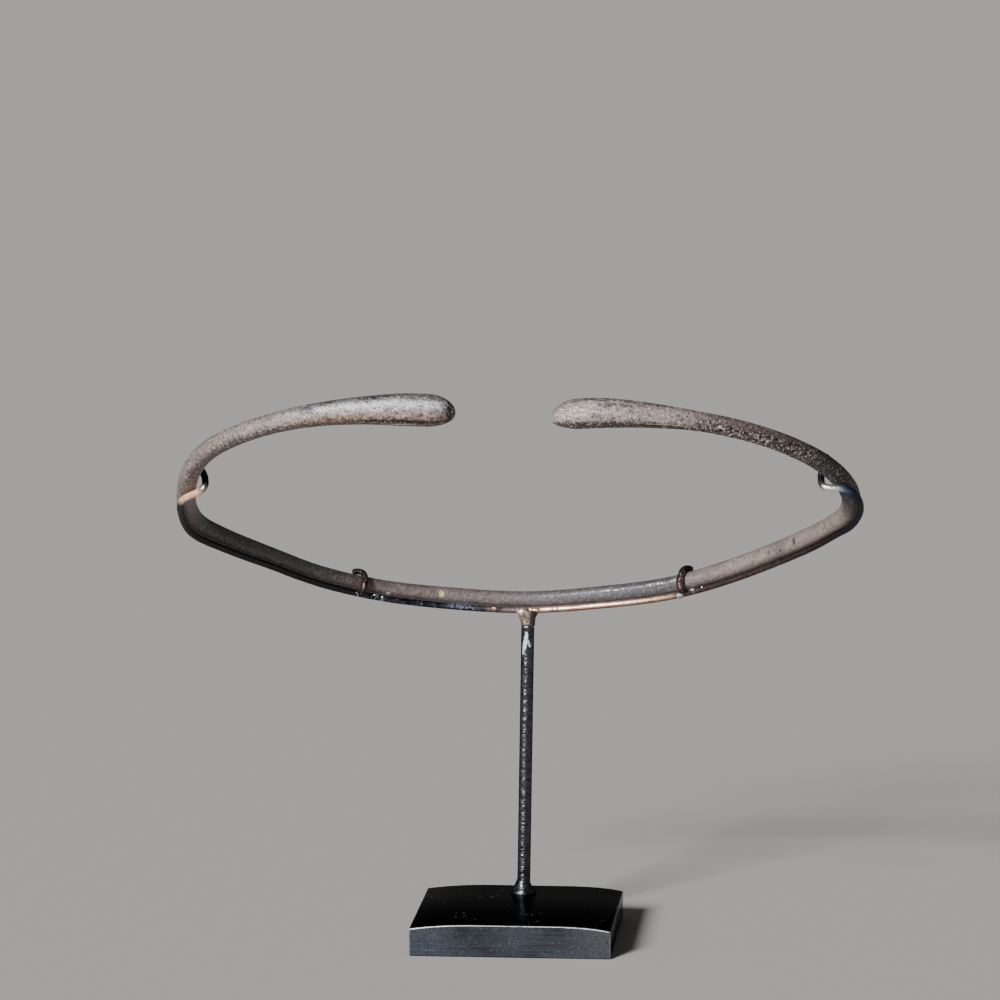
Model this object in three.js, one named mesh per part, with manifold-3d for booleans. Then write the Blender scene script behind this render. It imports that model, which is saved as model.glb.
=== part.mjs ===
// A penannular bronze torc held on the welded steel stand made for it.
// Millimetres, +Z up. The origin is the centre of the block's underside, and the torc opens towards -Y.

import * as THREE from "three";
import { mergeVertices } from "three/addons/utils/BufferGeometryUtils.js";
import Module from "manifold-3d";

const wasm = await Module();
wasm.setup();

// Block: square in plan, its top level in the middle and rounded down to its left and right edges.
// The level part ends, and the curves' tangents meet its height, so far from the middle.
const blockSide = 48;
const blockEdgeHeight = 6.65;
const blockHeight = 7.75;
const blockLeftLevel = 8;
const blockRightLevel = 10;
const blockLeftBend = 16.5;
const blockRightBend = 19.5;
const blockEdgeRound = 0.6;

// Rod: it stands near the back edge of the block and leans a little to the right, in degrees.
const rodDiameter = 3.175;
const rodFromBackEdge = 8.6;
const rodFromMiddle = 0.15;
const rodTop = 74;
const rodLean = 0.85;
const rodSides = 24;

// Weld bead round the rod's foot.
const weldDiameter = 6.2;
const weldHeight = 2.7;
const weldTopThickness = 0.15;
const weldRings = 6;

// Braze between the rod and the carrier bar: round on the rod, and drawn out along the bar.
const brazeLength = 5.2;
const brazeWidth = 4.2;
const brazeHeight = 3.1;
const brazeFlare = 1.8;
const brazeRings = 6;

// Clearance that is left between a weld or braze and the metal it holds.
const weldGap = 0.2;

// The middle of the torc's back, and how the ring is set on the rod, in degrees: its front raised,
// its right side raised, and turned to the right in its own plane.
const ringBackSideways = 1.2;
const ringBackDepth = 16.75;
const ringBackHeight = 79.8;
const ringTilt = 27;
const ringRoll = 1.4;
const ringTurn = 1.4;

// Torc, from the left terminal's tip round the back to the right one's, looking at its opening:
// sideways from the rod, forwards from the back, and thickness.
const torcStations = [
  [-8.7, 132.2, 7.0],
  [-14.7, 133.2, 7.15],
  [-20.5, 133.7, 7.1],
  [-28.5, 133.4, 6.2],
  [-38.2, 131.3, 5.25],
  [-47.5, 126.9, 4.6],
  [-57.5, 119.1, 4.35],
  [-65.9, 108.5, 4.35],
  [-71.3, 95.2, 4.4],
  [-74.1, 81.5, 4.45],
  [-75.2, 68.5, 4.4],
  [-73.9, 57.2, 4.3],
  [-68.6, 47.2, 4.0],
  [-59.6, 34.9, 3.6],
  [-48.4, 20.4, 3.45],
  [-34.1, 9.4, 3.5],
  [-17.4, 3.2, 3.65],
  [0, 0.2, 3.65],
  [17.3, 3.6, 3.75],
  [33.8, 9.9, 3.9],
  [47.6, 21.1, 4.05],
  [59.9, 34.8, 4.1],
  [70.2, 48.5, 4.2],
  [76.6, 60.0, 4.35],
  [78.3, 72.4, 4.4],
  [76.4, 85.0, 4.4],
  [71.5, 98.0, 4.3],
  [64.2, 109.2, 4.2],
  [54.0, 119.3, 4.2],
  [44.0, 125.4, 4.4],
  [34.5, 128.9, 5.4],
  [24.4, 130.8, 6.5],
  [17.5, 130.3, 6.65],
  [12.3, 129.0, 6.2],
];
const torcSections = 116;
const torcSides = 20;
const torcTipLength = 6.4;
// The last of each terminal sinks a little under the ring's plane.
const torcDroopLength = 4.5;
const torcLeftDroop = 0.35;
const torcRightDroop = 0.6;
// 0 spaces the sections evenly, and nearly 1 crowds them at the tips.
const torcCrowding = 0.85;
// 2 would be a circle, and a larger number is squarer.
const torcSquareness = 2.2;

// Wires under the ring: the carrier bar with its two hooked ends, and the two clips on it.
const barDiameter = 1.6;
const clipDiameter = 1.5;
const wireGap = 0.2;
const clipGap = 0.12;
const wireSides = 10;
const barSections = 150;
const clipSections = 16;

// Each hook from its free end to where the bar is back under the torc, in the ring's plane:
// sideways and forwards as for the torc, and above that plane.
const leftHook = [
  [-69.9, 88.8, 2.2],
  [-69.5, 88.9, 1.4],
  [-69.1, 89.1, 0.4],
  [-68.9, 89.4, -0.6],
  [-68.8, 89.9, -1.7],
  [-69.1, 90.1, -2.7],
  [-70, 89.3, -3.2],
  [-71.6, 87.4, -3.2],
  [-73.4, 85.3, -3.2],
  [-74.9, 82.8, -3.2],
  [-75.8, 78.2, -3.2],
  [-76.1, 72.5, -3.2],
  [-76.1, 66.9, -3.2],
  [-75.4, 60.6, -3.2],
  [-73.6, 55.4, -3.15],
];
const rightHook = [
  [71.5, 88, 1.1],
  [71.5, 88.1, 0.1],
  [71.5, 88.3, -0.9],
  [71.7, 88.7, -2.1],
  [72.4, 89.1, -2.9],
  [74, 89.2, -3.2],
  [76.2, 88.8, -3.2],
  [78.3, 86.9, -3.2],
  [79.8, 82.2, -3.2],
  [80.4, 75.4, -3.2],
  [79.8, 68.9, -3.2],
  [77.9, 61.9, -3.2],
  [74.9, 56.7, -3.15],
];
// Between the hooks the bar runs under the torc's centreline.
const barUnderFrom = 0.3;
const barUnderTo = 0.71;
const barUnderPoints = 20;

// Clips: their places along the torc, from a little below the bar's centre to their free ends.
const leftClipShare = 0.4055;
const rightClipShare = 0.6015;
const clipStart = 0.5;

const bronze = new THREE.MeshStandardMaterial({ color: 0x6f6058, roughness: 0.5, metalness: 0.7 });
const blackedSteel = new THREE.MeshStandardMaterial({ color: 0x24272b, roughness: 0.45, metalness: 0.8 });
const darkWire = new THREE.MeshStandardMaterial({ color: 0x2b2826, roughness: 0.5, metalness: 0.8 });
const brazeMetal = new THREE.MeshStandardMaterial({ color: 0x8a6e60, roughness: 0.6, metalness: 0.6 });

const degrees = THREE.MathUtils.degToRad;

function part(name, geometry, material) {
  const mesh = new THREE.Mesh(geometry, material);
  mesh.name = name;
  return mesh;
}

function solidOf(geometry) {
  const plain = geometry.clone();
  plain.deleteAttribute("normal");
  plain.deleteAttribute("uv");
  const merged = mergeVertices(plain);
  return new wasm.Manifold(
    new wasm.Mesh({
      numProp: 3,
      vertProperties: merged.attributes.position.array,
      triVerts: new Uint32Array(merged.index.array),
    }),
  );
}

function geometryOf(solid) {
  const { vertProperties, triVerts } = solid.getMesh();
  const geometry = new THREE.BufferGeometry();
  geometry.setAttribute("position", new THREE.BufferAttribute(vertProperties, 3));
  geometry.setIndex(new THREE.BufferAttribute(triVerts, 1));
  geometry.computeVertexNormals();
  return geometry;
}

// A round wire along a smooth curve, flat at both ends.
function wire(points, diameter, steps) {
  const circle = new THREE.Shape();
  circle.absarc(0, 0, diameter / 2, 0, 2 * Math.PI);
  const extrudePath = new THREE.CatmullRomCurve3(points, false, "centripetal");
  const curveSegments = Math.round(wireSides / 2);
  return new THREE.ExtrudeGeometry(circle, { steps, curveSegments, extrudePath });
}

// The torc's centreline in the ring's plane, with the thickness carried as the third coordinate.
const torcCurve = new THREE.CatmullRomCurve3(
  torcStations.map(([sideways, forwards, thickness]) => new THREE.Vector3(sideways, -forwards, thickness)),
  false,
  "centripetal",
);
const torcLength = torcCurve.getLength();

// The place, sideways direction and thickness of the torc at a share of its length.
function torcAt(share) {
  const point = torcCurve.getPointAt(THREE.MathUtils.clamp(share, 0, 1));
  const tangent = torcCurve.getTangentAt(THREE.MathUtils.clamp(share, 0, 1)).setZ(0).normalize();
  return {
    centre: new THREE.Vector3(point.x, point.y, 0),
    outward: new THREE.Vector3(-tangent.y, tangent.x, 0),
    thickness: point.z,
  };
}

function torc() {
  // A sphere's rows become the sections of the bar: its poles are the two tips.
  const geometry = new THREE.SphereGeometry(1, torcSides, torcSections);
  const position = geometry.attributes.position;
  const vertex = new THREE.Vector3();
  for (let i = 0; i < position.count; i += 1) {
    vertex.fromBufferAttribute(position, i);
    const row = Math.acos(THREE.MathUtils.clamp(vertex.y, -1, 1)) / Math.PI;
    // Rows crowd towards the tips, where the section changes fast.
    const share = row - (torcCrowding * Math.sin(2 * Math.PI * row)) / (2 * Math.PI);
    const fromTip = Math.min(share, 1 - share) * torcLength;
    const { centre, outward, thickness } = torcAt(share);
    const cap = Math.sqrt(1 - Math.max(0, 1 - fromTip / torcTipLength) ** 2);
    const angle = Math.atan2(vertex.z, vertex.x);
    const roundness =
      (Math.abs(Math.cos(angle)) ** torcSquareness + Math.abs(Math.sin(angle)) ** torcSquareness) **
      (-1 / torcSquareness);
    const radius = (thickness / 2) * cap * roundness;
    const tipDroop = share < 0.5 ? torcLeftDroop : torcRightDroop;
    const droop = tipDroop * Math.max(0, 1 - fromTip / torcDroopLength) ** 2;
    vertex.copy(centre).addScaledVector(outward, radius * Math.cos(angle));
    vertex.z = radius * Math.sin(angle) - droop;
    position.setXYZ(i, vertex.x, vertex.y, vertex.z);
  }
  geometry.computeVertexNormals();
  return part("torc", geometry, bronze);
}

// A point beside the torc, given outwards from its centreline and above it.
function besideTorc(share, outwards, above) {
  const { centre, outward } = torcAt(share);
  return centre.addScaledVector(outward, outwards).setZ(above);
}

function hookPoints(hook) {
  return hook.map(([sideways, forwards, above]) => new THREE.Vector3(sideways, -forwards, above));
}

function carrierBar(diameter) {
  const points = hookPoints(leftHook);
  for (let i = 0; i <= barUnderPoints; i += 1) {
    const share = THREE.MathUtils.lerp(barUnderFrom, barUnderTo, i / barUnderPoints);
    points.push(besideTorc(share, 0, -(torcAt(share).thickness + barDiameter) / 2 - wireGap));
  }
  points.push(...hookPoints(rightHook).reverse());
  return wire(points, diameter, barSections);
}

// A clip starts beside the bar, rises up the inner face of the torc and bends over its top.
function clip(share) {
  const torcRadius = torcAt(share).thickness / 2;
  const reach = torcRadius + clipGap + clipDiameter / 2;
  const barLevel = -torcRadius - wireGap - barDiameter / 2;
  const stations = [
    [-(barDiameter + clipDiameter) / 2 - clipGap, barLevel - clipStart],
    [-reach, -reach * 0.5],
    [-reach, 0],
    [-reach * 0.75, reach * 0.7],
    [-reach * 0.15, reach],
    [reach * 0.3, reach * 0.97],
  ];
  return wire(stations.map((station) => besideTorc(share, ...station)), clipDiameter, clipSections);
}

function standBase() {
  const half = blockSide / 2;
  const profile = new THREE.Shape();
  profile.moveTo(-half + blockEdgeRound, 0);
  profile.lineTo(half - blockEdgeRound, 0);
  profile.quadraticCurveTo(half, 0, half, blockEdgeRound);
  profile.lineTo(half, blockEdgeHeight);
  profile.quadraticCurveTo(blockRightBend, blockHeight, blockRightLevel, blockHeight);
  profile.lineTo(-blockLeftLevel, blockHeight);
  profile.quadraticCurveTo(-blockLeftBend, blockHeight, -half, blockEdgeHeight);
  profile.lineTo(-half, blockEdgeRound);
  profile.quadraticCurveTo(-half, 0, -half + blockEdgeRound, 0);
  const geometry = new THREE.ExtrudeGeometry(profile, {
    depth: blockSide,
    steps: 1,
    curveSegments: 8,
    bevelEnabled: false,
  });
  geometry.rotateX(Math.PI / 2).translate(0, half, 0);
  return part("stand_base", geometry, blackedSteel);
}

// Turns a profile of [radius, height] pairs round a vertical axis.
function turned(profile, sides) {
  const points = profile.map(([radius, height]) => new THREE.Vector2(radius, height));
  return new THREE.LatheGeometry(points, sides).rotateX(Math.PI / 2);
}

const rodRadius = rodDiameter / 2;

function standRod() {
  const bottom = blockHeight + weldGap;
  const profile = [
    [0, bottom],
    [rodRadius, bottom],
    [rodRadius, rodTop],
    [0, rodTop],
  ];
  return part("stand_rod", turned(profile, rodSides), blackedSteel);
}

function footWeld() {
  const inner = rodRadius + weldGap;
  const outer = weldDiameter / 2;
  const profile = [[inner, 0]];
  for (let i = 0; i <= weldRings; i += 1) {
    const rise = i / weldRings;
    const slope = (outer - inner - weldTopThickness) * (1 - (1 - rise) ** 2);
    profile.push([outer - slope, rise * weldHeight]);
  }
  profile.push([inner, weldHeight], [inner, 0]);
  return part("foot_weld", turned(profile, rodSides), blackedSteel);
}

const upright = new THREE.Group();
upright.add(standRod());
upright.rotation.y = degrees(rodLean);
upright.position.set(rodFromMiddle, blockSide / 2 - rodFromBackEdge, 0);
upright.updateMatrixWorld(true);

const ring = new THREE.Group();
ring.add(
  torc(),
  part("carrier_bar", carrierBar(barDiameter), darkWire),
  part("clip_left", clip(leftClipShare), darkWire),
  part("clip_right", clip(rightClipShare), darkWire),
);
ring.rotation.set(-degrees(ringTilt), -degrees(ringRoll), degrees(ringTurn), "YXZ");
ring.position.set(ringBackSideways, ringBackDepth, ringBackHeight);
ring.updateMatrixWorld(true);

// The braze flares upwards from the rod, and the carrier bar lies in a groove in its top.
function topBraze() {
  const bottom = rodTop + weldGap;
  const profile = [[0, bottom]];
  for (let i = 0; i <= brazeRings; i += 1) {
    const rise = i / brazeRings;
    const flare = (brazeWidth / 2 - rodRadius) * rise ** brazeFlare;
    profile.push([rodRadius + flare, bottom + rise * brazeHeight]);
  }
  profile.push([0, bottom + brazeHeight]);
  const lump = turned(profile, rodSides);
  const position = lump.attributes.position;
  for (let i = 0; i < position.count; i += 1) {
    const rise = THREE.MathUtils.clamp((position.getZ(i) - bottom) / brazeHeight, 0, 1);
    position.setX(i, position.getX(i) * (1 + (brazeLength / brazeWidth - 1) * rise ** brazeFlare));
  }
  lump.applyMatrix4(upright.matrixWorld);
  const groove = carrierBar(barDiameter + 2 * weldGap).applyMatrix4(ring.matrixWorld);
  return part("top_braze", geometryOf(solidOf(lump).subtract(solidOf(groove))), brazeMetal);
}

const weld = footWeld();
weld.position.set(rodFromMiddle, upright.position.y, blockHeight);

const torcOnStand = new THREE.Group();
torcOnStand.add(ring, upright, topBraze(), weld, standBase());

export default torcOnStand;
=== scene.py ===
# A penannular bronze torc on the welded steel stand made for it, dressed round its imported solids.
import math

import bmesh
import bpy
import numpy as np
from mathutils import Matrix, Vector, noise


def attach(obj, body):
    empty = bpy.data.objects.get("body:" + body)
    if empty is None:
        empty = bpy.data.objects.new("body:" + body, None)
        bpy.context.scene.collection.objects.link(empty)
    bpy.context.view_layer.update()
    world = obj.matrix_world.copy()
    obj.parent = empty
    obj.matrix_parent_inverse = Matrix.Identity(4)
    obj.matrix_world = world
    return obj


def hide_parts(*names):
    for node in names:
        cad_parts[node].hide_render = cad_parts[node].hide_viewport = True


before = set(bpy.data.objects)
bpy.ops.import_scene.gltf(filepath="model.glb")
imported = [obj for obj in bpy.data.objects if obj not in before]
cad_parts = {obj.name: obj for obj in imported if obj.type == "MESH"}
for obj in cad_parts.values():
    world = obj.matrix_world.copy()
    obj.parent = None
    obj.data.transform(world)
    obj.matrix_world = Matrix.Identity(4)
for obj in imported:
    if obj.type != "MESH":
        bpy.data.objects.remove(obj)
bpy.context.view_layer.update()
mm = 0.001


# Camera, where the photograph was taken from

cameraView = {
    "place": (0.1078, -1.3629, 0.2936),
    "turn": (82.2, 0.0, 4.7),
    "lens": 208.1,
    "near": 0.05,
}


def makeCamera():
    data = bpy.data.cameras.new("photoCamera")
    data.lens = cameraView["lens"]
    data.clip_start = cameraView["near"]
    camera = bpy.data.objects.new("photoCamera", data)
    camera.location = cameraView["place"]
    camera.rotation_euler = [math.radians(angle) for angle in cameraView["turn"]]
    bpy.context.collection.objects.link(camera)
    bpy.context.scene.camera = camera


makeCamera()
print("camera placed")


# Node trees: a socket that Python expressions work on

def socketOf(sockets, key):
    matching = [socket for socket in sockets if socket.identifier == key]
    return matching[0] if matching else sockets[key]


# A method that joins a socket and a value by a maths operation, the value first if it is turned.
def joining(operation, turned=False):
    def joined(self, value):
        return self.maths(operation, *((value, self) if turned else (self, value)))
    return joined


class Sock:
    def __init__(self, tree, out=None):
        self.tree = tree
        self.out = out

    # Any node: its type, its settings, what its sockets get, and the output that is wanted.
    def node(self, kind, settings=None, sockets=None, take=0):
        made = self.tree.nodes.new(kind)
        for key, value in (settings or {}).items():
            setattr(made, key, value)
        for key, value in (sockets or {}).items():
            target = socketOf(made.inputs, key)
            if isinstance(value, Sock):
                self.tree.links.new(value.out, target)
            else:
                target.default_value = value
        return Sock(self.tree, socketOf(made.outputs, take))

    def other(self, take):
        return Sock(self.tree, socketOf(self.out.node.outputs, take))

    def maths(self, operation, *values):
        return self.node("ShaderNodeMath", {"operation": operation}, dict(enumerate(values)))

    __add__, __radd__ = joining("ADD"), joining("ADD", True)
    __sub__, __rsub__ = joining("SUBTRACT"), joining("SUBTRACT", True)
    __truediv__, __rtruediv__ = joining("DIVIDE"), joining("DIVIDE", True)
    __mul__, __pow__ = joining("MULTIPLY"), joining("POWER")
    atMost, atLeast = joining("MINIMUM"), joining("MAXIMUM")

    def size(self):
        return self.maths("ABSOLUTE", self)

    def parts(self):
        x = self.node("ShaderNodeSeparateXYZ", {}, {"Vector": self})
        return x, x.other("Y"), x.other("Z")

    # A place of the mesh in millimetres, in its own frame
    def meshPlace(self):
        return self.node("ShaderNodeTexCoord", take="Object").scaled(1 / mm)

    def attribute(self, name, take="Vector"):
        return self.node("ShaderNodeAttribute", {"attribute_name": name}, take=take)

    # This geometry, with values kept on its points under a name.
    def keeping(self, name, value, kind="FLOAT_VECTOR"):
        return self.node("GeometryNodeStoreNamedAttribute", {"data_type": kind, "domain": "POINT"},
                         {"Geometry": self, "Name": name, "Value": value})

    # 0 below low, 1 above high, smooth between; low above high turns it round.
    def step(self, low, high):
        settings = {"interpolation_type": "SMOOTHSTEP", "clamp": True}
        values = {"Value": self, "From Min": low, "From Max": high}
        if low > high:
            values = {"Value": self, "From Min": high, "From Max": low, "To Min": 1.0, "To Max": 0.0}
        return self.node("ShaderNodeMapRange", settings, values)

    # 1 in the middle of a zone, 0 outside it: where it starts, is full, starts to fade and ends.
    def within(self, zone):
        start, full, fade, end = zone
        return self.step(start, full) * self.step(end, fade)

    def vector(self, operation, *values, take=0):
        return self.node("ShaderNodeVectorMath", {"operation": operation}, dict(enumerate(values)), take)

    def scaled(self, x, y=None, z=None):
        factors = (x, x if y is None else y, x if z is None else z)
        return self.vector("MULTIPLY", self, factors)

    def times(self, factor):
        return self.node("ShaderNodeVectorMath", {"operation": "SCALE"}, {0: self, "Scale": factor})

    def noise(self, scale, detail=3.0, roughness=0.5):
        values = {"Vector": self, "Scale": scale, "Detail": detail, "Roughness": roughness}
        return self.node("ShaderNodeTexNoise", {}, values)

    def cells(self, scale):
        return self.node("ShaderNodeTexVoronoi", {}, {"Vector": self, "Scale": scale})

    # This colour, with another laid over it where the mask is 1.
    def over(self, colour, mask):
        value = colour if isinstance(colour, Sock) else paint(colour)
        return self.node("ShaderNodeMix", {"data_type": "RGBA"},
                         {"Factor_Float": mask, "A_Color": self, "B_Color": value}, "Result_Color")

    # This colour, with named shades laid over it in turn, each where its mask is 1.
    def layered(self, shades, masks):
        colour = self
        for name, mask in masks.items():
            colour = colour.over(shades[name], mask)
        return colour

    # A colour from this value, by stops of place and colour.
    def ramp(self, stops):
        result = self.node("ShaderNodeValToRGB", {}, {"Fac": self}, "Color")
        elements = result.out.node.color_ramp.elements
        while len(elements) < len(stops):
            elements.new(1.0)
        for element, (place, colour) in zip(elements, stops):
            element.position, element.color = place, paint(colour)
        return result


# A display colour as 0 to 255, made linear.
def paint(colour):
    linear = [((c / 255 + 0.055) / 1.055) ** 2.4 if c > 10 else c / 255 / 12.92 for c in colour]
    return (*linear, 1.0)


# A material: its varying values are linked to its shader, and its constant ones are set there.
def makeMaterial(name, write, **constants):
    material = bpy.data.materials.new(name)
    material.use_nodes = True
    tree = material.node_tree
    shader = tree.nodes["Principled BSDF"]
    for key, value in constants.items():
        shader.inputs[key.replace("_", " ")].default_value = value
    for key, value in write(Sock(tree)).items():
        tree.links.new(value.out, shader.inputs[key])
    return material


def bump(start, height):
    return start.node("ShaderNodeBump", {}, {"Height": height, "Distance": mm})


# A geometry tree: its named inputs with their values, and what it makes from them.
def makeTree(name, inputs, write):
    tree = bpy.data.node_groups.new(name, "GeometryNodeTree")
    tree.interface.new_socket("Geometry", in_out="INPUT", socket_type="NodeSocketGeometry")
    tree.interface.new_socket("Geometry", in_out="OUTPUT", socket_type="NodeSocketGeometry")
    kinds = {int: "NodeSocketInt", float: "NodeSocketFloat"}
    for label, value in inputs.items():
        kind = kinds.get(type(value), "NodeSocketMaterial")
        socket = tree.interface.new_socket(label, in_out="INPUT", socket_type=kind)
        socket.default_value = value
    entry = tree.nodes.new("NodeGroupInput")
    given = {socket.name: Sock(tree, socket) for socket in entry.outputs if socket.name}
    result = write(Sock(tree), given)
    looks = {"Geometry": result, "Material": given["Material"]}
    dressed = result.node("GeometryNodeSetMaterial", {}, looks)
    end = tree.nodes.new("NodeGroupOutput")
    tree.links.new(dressed.out, end.inputs[0])
    return tree


# Runs a tree on a mesh and returns what it makes as a plain mesh.
def grown(mesh, tree):
    holder = bpy.data.objects.new("holder", mesh)
    bpy.context.collection.objects.link(holder)
    modifier = holder.modifiers.new("grow", "NODES")
    modifier.node_group = tree
    bpy.context.view_layer.update()
    evaluated = holder.evaluated_get(bpy.context.evaluated_depsgraph_get())
    result = bpy.data.meshes.new_from_object(evaluated)
    holder.modifiers.remove(modifier)
    bpy.data.objects.remove(holder)
    return result


# Turns a closed mesh right side out.
def outwards(mesh):
    work = bmesh.new()
    work.from_mesh(mesh)
    if work.calc_volume(signed=True) < 0:
        bmesh.ops.reverse_faces(work, faces=work.faces)
    work.to_mesh(mesh)
    work.free()


def addPiece(name, mesh, material, node):
    outwards(mesh)
    mesh.materials.clear()
    mesh.materials.append(material)
    mesh.name = name
    piece = bpy.data.objects.new(name, mesh)
    bpy.context.collection.objects.link(piece)
    mesh.shade_smooth()
    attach(piece, "root")
    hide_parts(node)
    print(name, len(mesh.loop_triangles), "triangles")
    return piece


# Paths

# A smooth curve through points, tight enough not to swing out at uneven steps.
def smoothPath(points, perSpan=24):
    points = [np.array(p, float) for p in points]
    padded = [2 * points[0] - points[1], *points, 2 * points[-1] - points[-2]]
    result = []
    for p0, p1, p2, p3 in zip(padded, padded[1:], padded[2:], padded[3:]):
        d0, d1, d2 = (math.sqrt(np.linalg.norm(b - a)) for a, b in ((p0, p1), (p1, p2), (p2, p3)))
        m1 = ((p1 - p0) / d0 - (p2 - p0) / (d0 + d1) + (p2 - p1) / d1) * d1
        m2 = ((p2 - p1) / d1 - (p3 - p1) / (d1 + d2) + (p3 - p2) / d2) * d1
        square, cube = 3 * (p2 - p1) - 2 * m1 - m2, 2 * (p1 - p2) + m1 + m2
        for t in np.arange(perSpan) / perSpan:
            result.append(p1 + m1 * t + square * t**2 + cube * t**3)
    result.append(points[-1])
    return np.array(result)


# Points at even steps along a path, which may carry further columns.
def evenly(path, count):
    steps = np.linalg.norm(np.diff(path, axis=0), axis=1)
    run = np.concatenate([[0], np.cumsum(steps)])
    wanted = np.linspace(0, run[-1], count)
    return np.stack([np.interp(wanted, run, column) for column in path.T], axis=1)


def lineMesh(name, points, thickness=None):
    mesh = bpy.data.meshes.new(name)
    edges = [(i, i + 1) for i in range(len(points) - 1)]
    mesh.from_pydata([Vector(p) for p in points], edges, [])
    if thickness is not None:
        mesh.attributes.new("thickness", "FLOAT", "POINT").data.foreach_set("value", thickness)
    return mesh


# The ring's own frame: its back on the rod, its front and right side raised

ringPlace = {"back": (1.2, 16.75, 79.8), "tilt": 27.0, "roll": 1.4, "turn": 1.4}


# A point of the ring's plane goes through its turn, then its tilt, then its roll.
def ringMatrix():
    tilt, roll, turn = (math.radians(ringPlace[key]) for key in ("tilt", "roll", "turn"))
    raised = Matrix.Rotation(-roll, 4, "Y") @ Matrix.Rotation(-tilt, 4, "X")
    return Matrix.Translation(Vector(ringPlace["back"]) * mm) @ raised @ Matrix.Rotation(turn, 4, "Z")


# Torc

torcBar = {
    # sideways from the rod, forwards from the back, thickness, from the left tip round to the right one
    "stations": [
        (-8.7, 132.2, 7.0), (-14.7, 133.2, 7.15), (-20.5, 133.7, 7.1), (-28.5, 133.4, 6.2),
        (-38.2, 131.3, 5.25), (-47.5, 126.9, 4.6), (-57.5, 119.1, 4.35), (-65.9, 108.5, 4.35),
        (-71.3, 95.2, 4.4), (-74.1, 81.5, 4.45), (-75.2, 68.5, 4.4), (-73.9, 57.2, 4.3),
        (-68.6, 47.2, 4.0), (-59.6, 34.9, 3.6), (-48.4, 20.4, 3.45), (-34.1, 9.4, 3.5),
        (-17.4, 3.2, 3.65), (0, 0.2, 3.65), (17.3, 3.6, 3.75), (33.8, 9.9, 3.9),
        (47.6, 21.1, 4.05), (59.9, 34.8, 4.1), (70.2, 48.5, 4.2), (76.6, 60.0, 4.35),
        (78.3, 72.4, 4.4), (76.4, 85.0, 4.4), (71.5, 98.0, 4.3), (64.2, 109.2, 4.2),
        (54.0, 119.3, 4.2), (44.0, 125.4, 4.4), (34.5, 128.9, 5.4), (24.4, 130.8, 6.5),
        (17.5, 130.3, 6.65), (12.3, 129.0, 6.2),
    ],
    "length": 431.4,
    "pathSteps": 1600,
    "sections": 1290,
    "sides": 64,
    "tipLength": 6.4,
    "crowding": 0.45,
    "squareness": 2.2,
    "unevenness": 0.1,
    # the skin's waves: how much they are stretched lengthways, how fine they are, how strong
    "waves": [(0.6, 0.16, 1.0), (1.0, 0.5, 0.6), (1.0, 1.6, 0.8)],
    "droopLength": 4.5,
    "leftDroop": 0.35,
    "rightDroop": 0.6,
    # the shares of the length between which one tip's droop gives way to the other's
    "droopChange": (0.4, 0.6),
    "pitDepth": 0.3,
    "mergeDistance": 0.002,
}

# Stretches of the bar in millimetres from the left tip: two numbers for a stretch that reaches to a
# tip, four for one with two ends.
torcZones = {
    "leftTerminal": (1.5, 5.0, 30.0, 42.0),
    # Painted shade on the left end, and a painted grey reflection at its very point
    "shadedEnd": (3.0, 2.0),
    "rimReflection": (0.95, 0.55),
    # Painted shade under the left terminal, under the right one, and deeper towards the right
    "leftUnderShade": (98.0, 78.0),
    "rightUnderShade": (385.0, 400.0),
    "deeperUnderShade": (200.0, 300.0),
    "mottledTop": (398.0, 404.0, 423.0, 427.0),
    "smoothEnd": (422.0, 427.0),
    "crust": (360.0, 367.0, 394.0, 404.0),
    "sparkle": (330.0, 338.0, 360.0, 364.0),
    # A painted highlight streak with glints on the inner face
    "highlightStreak": (212.0, 238.0, 256.0, 266.0),
    "nearLeftTip": (135.0, 60.0),
    "nearRightTip": (300.0, 370.0),
}

# Shares of the bar's radius above its centreline between which its looks and painted sheen and shade
# change
torcHeights = {
    "silverSheen": (-0.72, -0.3),
    "brown": (-0.4, -0.8),
    "grey": (0.22, 0.62),
    "underShade": (-0.68, -0.95),
    "mottledTop": (0.42, 0.6, 0.8, 0.95),
    "sparkle": (0.55, 0.8),
}

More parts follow.
